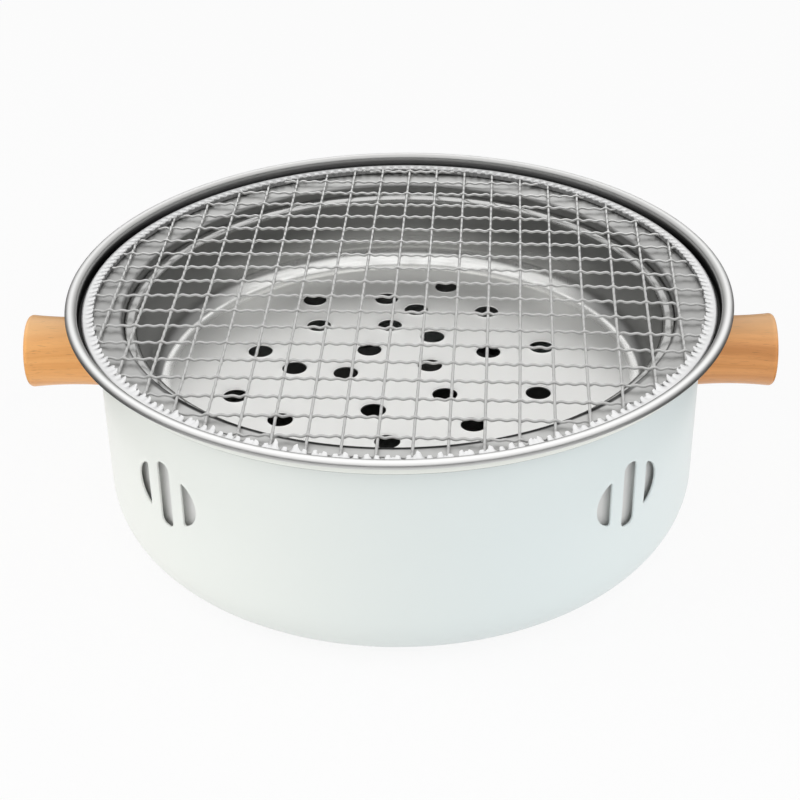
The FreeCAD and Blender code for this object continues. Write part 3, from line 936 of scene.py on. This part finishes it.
def bindingSection(angle, look, peakSizes, pleatSizes):
    pleat = angle / (2 * math.pi) * look["pleats"]
    wave = math.tanh(look["pleatSharp"] * math.cos(2 * math.pi * pleat))
    wave *= pleatSizes[int(pleat + 0.5) % look["pleats"]]
    peak = angle / (2 * math.pi) * look["peaks"]
    tip = max(0.0, 1 - abs(peak - int(peak) - 0.5) * look["toothNarrow"]) ** look["toothPower"]
    tip *= peakSizes[int(peak) % look["peaks"]]
    front = max(0.0, -math.sin(angle)) ** look["frontPower"]
    tip *= look["backTeeth"] + (1 - look["backTeeth"]) * front
    reach, top, bottom = bandReach, bandTop, bandBottom
    inner = reach - look["width"] - look["scallop"] * wave - look["tooth"] * tip
    start = reach - look["smooth"]
    lift = wave * look["fold"] + tip * look["curl"]
    section = []
    for share in (0.0, 0.2, 0.45, 0.7, 1.0):
        slack = (1 - share) ** look["slackPower"]
        section.append((inner + (start - inner) * share, top - look["sink"] + slack * lift))
    middle = (top + bottom) / 2
    section += [(reach - inset, top - drop) for inset, drop in look["edgeRound"]]
    section += [(reach, middle + look["edgeFlat"]), (reach, middle - look["edgeFlat"])]
    section += [(reach - inset, bottom + drop) for inset, drop in look["edgeRound"][::-1]]
    foot = reach - look["width"]
    return section + [
        (foot + look["footRound"], bottom),
        (foot + look["lipFoot"], bottom + look["lipFoot"]),
        (inner + look["lipFoot"], bottom + look["lipRise"]),
    ]


def makeBinding(material):
    look = bindingLook
    chance = random.Random(look["seed"])
    peakSizes = [chance.uniform(*look["peakRange"]) for _ in range(look["peaks"])]
    pleatSizes = [chance.uniform(*look["pleatRange"]) for _ in range(look["pleats"])]
    count = look["pleats"] * look["perPleat"]
    rows = []
    for angle in np.arange(count) * 2 * math.pi / count:
        section = bindingSection(angle, look, peakSizes, pleatSizes)
        rows.append([(r * math.cos(angle), r * math.sin(angle), z) for r, z in section])
    points = np.array(rows)
    faces = ringFaces(count, points.shape[1])
    makePiece("net_binding", points.reshape(-1, 3), faces, "grate", material,
              ["grate_edge_band"], 45)


def bindingFinish():
    look = bindingLook
    finish = Finish("BindingStrip")
    where = finish.place()
    patch = finish.noise(where, 70.0, 2.0)
    x, y, z, radius = finish.polar()
    start = (bandReach - look["smooth"]) * metre
    deep, shallow = (bandTop * metre - depth for depth in look["valleyDepths"])
    # The valleys of the pleats are darkened with painted shade
    pleated = 1 - finish.ramp(radius, start - look["valleyEdge"], start)
    valleyShade = pleated * (1 - finish.ramp(z, deep, shallow))
    tone = finish.blend(patch, look["bright"], look["worn"])
    return finish.surface({
        "Base Color": finish.blend(valleyShade, tone, look["valleyShade"]),
        "Metallic": 0.4,
        "Roughness": 0.28 + patch * 0.14,
        "Normal": finish.bump(finish.noise(where, 600.0), 0.08, 0.05),
    })


makeBinding(bindingFinish())
print("binding made")


# Turned wooden handles
handleLook = {
    "left": (colour(0.92, 0.46, 0.15), colour(0.80, 0.36, 0.10)),
    "right": (colour(0.80, 0.36, 0.11), colour(0.60, 0.245, 0.065)),
    "topSheen": colour(1.0, 0.66, 0.34),
    "topSheenSpan": (0.079, 0.086),
    "pore": colour(0.20, 0.09, 0.03),
    "poreRange": (0.58, 0.74),
    "ringRange": (0.32, 0.72),
    "neck": 29.2,
    "waistBow": 160.0,
    "endRound": 2.0,
    "around": 96,
    "lengthwise": 40,
    "roundSteps": 10,
    "endShares": (0.6, 0.25),
    "bore": 9.0,
    "sunk": 2.0,
}


def handleRadius(across, start, end, look, diameter):
    # The arc of the waist runs from the neck at the wall to the full diameter at the end
    begin = np.array([start, look["neck"] / 2])
    finish = np.array([end, diameter / 2])
    middle = (begin + finish) / 2
    chord = finish - begin
    length = np.linalg.norm(chord)
    rise = math.sqrt(look["waistBow"] ** 2 - (length / 2) ** 2)
    centre = middle + np.array([-chord[1], chord[0]]) / length * rise
    return centre[1] - math.sqrt(look["waistBow"] ** 2 - (across - centre[0]) ** 2)


def makeHandle(side, sign, material):
    look = handleLook
    node = "handle_" + side
    low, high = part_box(node)
    end = max(abs(low.x), abs(high.x)) / metre
    diameter = (high.z - low.z) / metre
    start = math.sqrt((shellReach - potLook["draft"]) ** 2 - diameter ** 2 / 4) - look["sunk"]
    rounding = look["endRound"]
    rows = []
    for turn in np.arange(look["around"]) * 2 * math.pi / look["around"]:
        cosTurn, sinTurn = math.cos(turn), math.sin(turn)
        neck = look["neck"] / 2
        wall = wallReach(handleAxis + neck * sinTurn)
        begin = math.sqrt(wall ** 2 - (neck * cosTurn) ** 2)
        boreWall = math.sqrt(wallReach(handleAxis) ** 2 - (look["bore"] / 2 * cosTurn) ** 2)
        row = [(boreWall, look["bore"] / 2)]
        for share in np.linspace(0, 1, look["lengthwise"]):
            across = begin + (end - rounding - begin) * share
            row.append((across, handleRadius(across, start, end, look, diameter)))
        full = row[-1][1]
        centre = (end - rounding, full - rounding)
        row += [tuple(p) for p in arcLine(centre, rounding, 90, 0, look["roundSteps"])[1:]]
        row += [(end, full * share) for share in look["endShares"]]
        rows.append([(sign * x, r * cosTurn, handleAxis + r * sinTurn) for x, r in row])
    points = np.array(rows)
    size = points.shape[1]
    faces = ringFaces(look["around"], size, False)
    faces.append(tuple(ring * size + size - 1 for ring in range(look["around"])))
    makePiece("wood_" + node, points.reshape(-1, 3), faces, "pot", material, [node], 50)


def woodFinish(side, shift):
    finish = Finish("HandleWood" + side.capitalize())
    x, y, z = finish.split(finish.place())
    light, dark = handleLook[side]
    drift = finish.noise(finish.vector(x * 18.0, y * 40.0, z * 40.0 + shift), 1.0, 2.0)
    # Growth rings seen from the side as long bands, bent a little along the grain
    band = finish.vector(x * 6.0 + shift, y * 120.0, z * 330.0 + drift * 2.6)
    rings = finish.noise(band, 1.0, 3.0, 0.6)
    fibre = finish.noise(finish.vector(x * 60.0, y * 1500.0, z * 1500.0), 1.0, 3.0)
    speck = finish.noise(finish.vector(x * 160.0, y * 2600.0, z * 2600.0), 1.0, 2.0)
    pores = finish.ramp(speck, *handleLook["poreRange"])
    tone = finish.blend(finish.ramp(rings, *handleLook["ringRange"]), light, dark)
    tone = finish.blend(fibre * 0.3, tone, dark)
    tone = finish.blend(pores * 0.35, tone, handleLook["pore"])
    # Paler along the top of the dowel: a painted sheen
    upper = finish.ramp(z, *handleLook["topSheenSpan"])
    tone = finish.blend(upper * 0.45, tone, handleLook["topSheen"])
    return finish.surface({
        "Base Color": tone,
        "Roughness": 0.40 + fibre * 0.16,
        "Coat Weight": 0.4,
        "Coat Roughness": 0.24,
        "Normal": finish.bump(fibre - pores * 0.8, 0.18, 0.08),
    })


makeHandle("left", -1, woodFinish("left", 3.0))
makeHandle("right", 1, woodFinish("right", 21.0))
print("handles made")


# CAD nodes that stay, with finishes of their own. A metal has a tone, a worn tone and a roughness
fastenerLook = {
    "brass": (colour(0.80, 0.62, 0.30), colour(0.66, 0.48, 0.20), 0.28),
    "zinc": (colour(0.62, 0.63, 0.64), colour(0.48, 0.49, 0.50), 0.30),
}


def millFinish(name, tone, worn, metal, roughness):
    finish = Finish(name)
    x, y, z, radius = finish.polar()
    where = finish.place()
    angle = x.maths("ARCTAN2", y, x)
    streak = finish.noise(finish.vector(angle * 40.0, z * 30.0, radius * 30.0), 1.0, 3.0)
    spangle = finish.noise(where, 120.0, 2.0)
    return finish.surface({
        "Base Color": finish.blend(streak * 0.7 + spangle * 0.3, tone, worn),
        "Metallic": metal,
        "Roughness": roughness + spangle * 0.12,
        "Normal": finish.bump(streak, 0.06, 0.1),
    })


def smallMetalFinish(name, tone, worn, roughness):
    finish = Finish(name)
    where = finish.place()
    patch = finish.noise(where, 300.0, 3.0)
    return finish.surface({
        "Base Color": finish.blend(patch, tone, worn),
        "Metallic": 1.0,
        "Roughness": roughness + patch * 0.15,
        "Normal": finish.bump(finish.noise(where, 1500.0), 0.10, 0.02),
    })


def dress(node, material):
    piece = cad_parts[node]
    for place in piece.material_slots:
        place.material = material


dress("heat_shield", millFinish("ShieldSteel", steelLook["mill"], steelLook["millWorn"], 0.1, 0.48))
dress("ash_tray", millFinish("TraySteel", steelLook["tray"], steelLook["trayWorn"], 0.9, 0.36))
brass = smallMetalFinish("InsertBrass", *fastenerLook["brass"])
zinc = smallMetalFinish("FastenerZinc", *fastenerLook["zinc"])
for side in ("left", "right"):
    dress("handle_insert_" + side, brass)
    dress("handle_screw_" + side, zinc)
    dress("handle_washer_" + side, zinc)
print("small parts finished")


# Studio: a pale floor, a soft sky and large soft lamps
studioLook = {
    "floor": colour(0.90, 0.90, 0.90),
    "floorShade": colour(0.88, 0.88, 0.88),
    "floorHalf": 6000.0,
    "floorSpots": 9,
    "floorDrop": 0.05,
    "floorGlow": 0.88,
    "ambient": 0.86,
    "horizon": 0.15,
    "walls": 1.55,
    "rise": (0.24, 0.46),
    "frontSpan": (-0.40, 0.05),
    "frontDrop": 0.24,
    "sideSpan": (0.25, 0.70),
    "sideShade": 0.22,
    "ceiling": 1.5,
    "ceilingRise": (0.60, 0.92),
    "flagInside": 190.0,
    "flagOutside": 900.0,
    "flagHeight": 0.4,
    "flagSegments": 64,
    "flagFront": colour(0.75, 0.75, 0.75),
    "flagFrontSpan": (-0.24, -0.10),
    "flagShades": (colour(0.04, 0.04, 0.04), colour(0.07, 0.07, 0.07)),
    "aim": (0, 0, 0.05),
    "lamps": [
        ("LeftLamp", (-1.30, -0.25, 0.45), 1.3, 7.6),
        ("FrontLamp", (0.15, -1.25, 0.70), 1.3, 3.8),
        ("RightLamp", (1.30, -0.25, 0.40), 1.3, 5.6),
    ],
}


def addStage(name, points, faces, material):
    mesh = bpy.data.meshes.new(name)
    mesh.from_pydata((np.array(points) * metre).tolist(), [], faces)
    mesh.materials.append(material)
    made = bpy.data.objects.new(name, mesh)
    bpy.context.scene.collection.objects.link(made)
    return made


def makeFloor():
    look = studioLook
    finish = Finish("FloorPaper")
    path = finish.add("ShaderNodeLightPath", {}, {})
    seen = path.named("Is Camera Ray") + path.named("Is Glossy Ray") + path.named("Is Transmission Ray")
    grain = finish.noise(finish.place(), 3.0)
    tone = finish.blend(grain, look["floor"], look["floorShade"])
    paper = finish.add("ShaderNodeBsdfPrincipled", {}, {"Base Color": tone, "Roughness": 0.8})
    glow = finish.add("ShaderNodeEmission", {}, {"Color": colour(1, 1, 1), "Strength": 1.0})
    mixed = finish.add("ShaderNodeMixShader", {}, {0: seen * look["floorGlow"], 1: paper, 2: glow})
    finish.add("ShaderNodeOutputMaterial", {}, {0: mixed})
    spots = look["floorSpots"]
    steps = np.linspace(-look["floorHalf"], look["floorHalf"], spots)
    points = [(u, v, -look["floorDrop"]) for u in steps for v in steps]
    corners = [i * spots + j for i in range(spots - 1) for j in range(spots - 1)]
    faces = [(corner, corner + spots, corner + spots + 1, corner + 1) for corner in corners]
    addStage("StudioFloor", points, faces, finish.material)


def makeFlag():
    # Card round the object that only reflections see, for the dark edges of the bright steel
    look = studioLook
    finish = Finish("FlagCard")
    x, y, z = finish.split(finish.place())
    front = 1 - finish.ramp(y, *look["flagFrontSpan"])
    grain = finish.noise(finish.place(), 4.0)
    shade = finish.blend(grain, *look["flagShades"])
    tone = finish.blend(front, shade, look["flagFront"])
    shader = finish.add("ShaderNodeBsdfDiffuse", {}, {"Color": tone})
    finish.add("ShaderNodeOutputMaterial", {}, {0: shader})
    section = [(look[edge], look["flagHeight"]) for edge in ("flagInside", "flagOutside")]
    points, faces = turnedMesh(section, look["flagSegments"], False)
    flag = addStage("FlagCard", points, faces, finish.material)
    flag.visible_camera = False
    flag.visible_diffuse = False
    flag.visible_shadow = False
    flag.visible_transmission = False


def makeSky():
    # Pale behind the object; reflections see a studio that is grey at the horizon and bright overhead
    look = studioLook
    finish = Finish("StudioSky", bpy.data.worlds)
    bpy.context.scene.world = finish.material
    path = finish.add("ShaderNodeLightPath", {}, {})
    seen = path.named("Is Camera Ray") + path.named("Is Transmission Ray")
    mirrored = path.named("Is Glossy Ray")
    across, away, up = finish.split(finish.add("ShaderNodeTexCoord", {}, {}, "Generated"))
    front = 1 - finish.ramp(away, *look["frontSpan"])
    side = finish.ramp(across.maths("ABSOLUTE", across), *look["sideSpan"])
    wall = finish.ramp(up - front * look["frontDrop"], *look["rise"]) * (1 - side * look["sideShade"])
    studio = look["horizon"] + wall * (look["walls"] - look["horizon"])
    studio = studio + finish.ramp(up, *look["ceilingRise"]) * (look["ceiling"] - look["walls"])
    strength = seen + mirrored * studio + (1 - seen - mirrored) * look["ambient"]
    back = finish.add("ShaderNodeBackground", {}, {"Strength": strength})
    finish.add("ShaderNodeOutputWorld", {}, {0: back})


def makeLamps():
    for name, place, size, power in studioLook["lamps"]:
        data = bpy.data.lights.new(name, "AREA")
        data.shape = "DISK"
        data.size = size
        data.energy = power
        lamp = bpy.data.objects.new(name, data)
        lamp.location = place
        aim = Vector(studioLook["aim"]) - Vector(place)
        lamp.rotation_euler = aim.to_track_quat("-Z", "Y").to_euler()
        lamp.visible_glossy = False
        bpy.context.scene.collection.objects.link(lamp)


makeFloor()
makeFlag()
makeSky()
makeLamps()
view = bpy.context.scene.view_settings
view.view_transform = "Standard"
print("studio set")
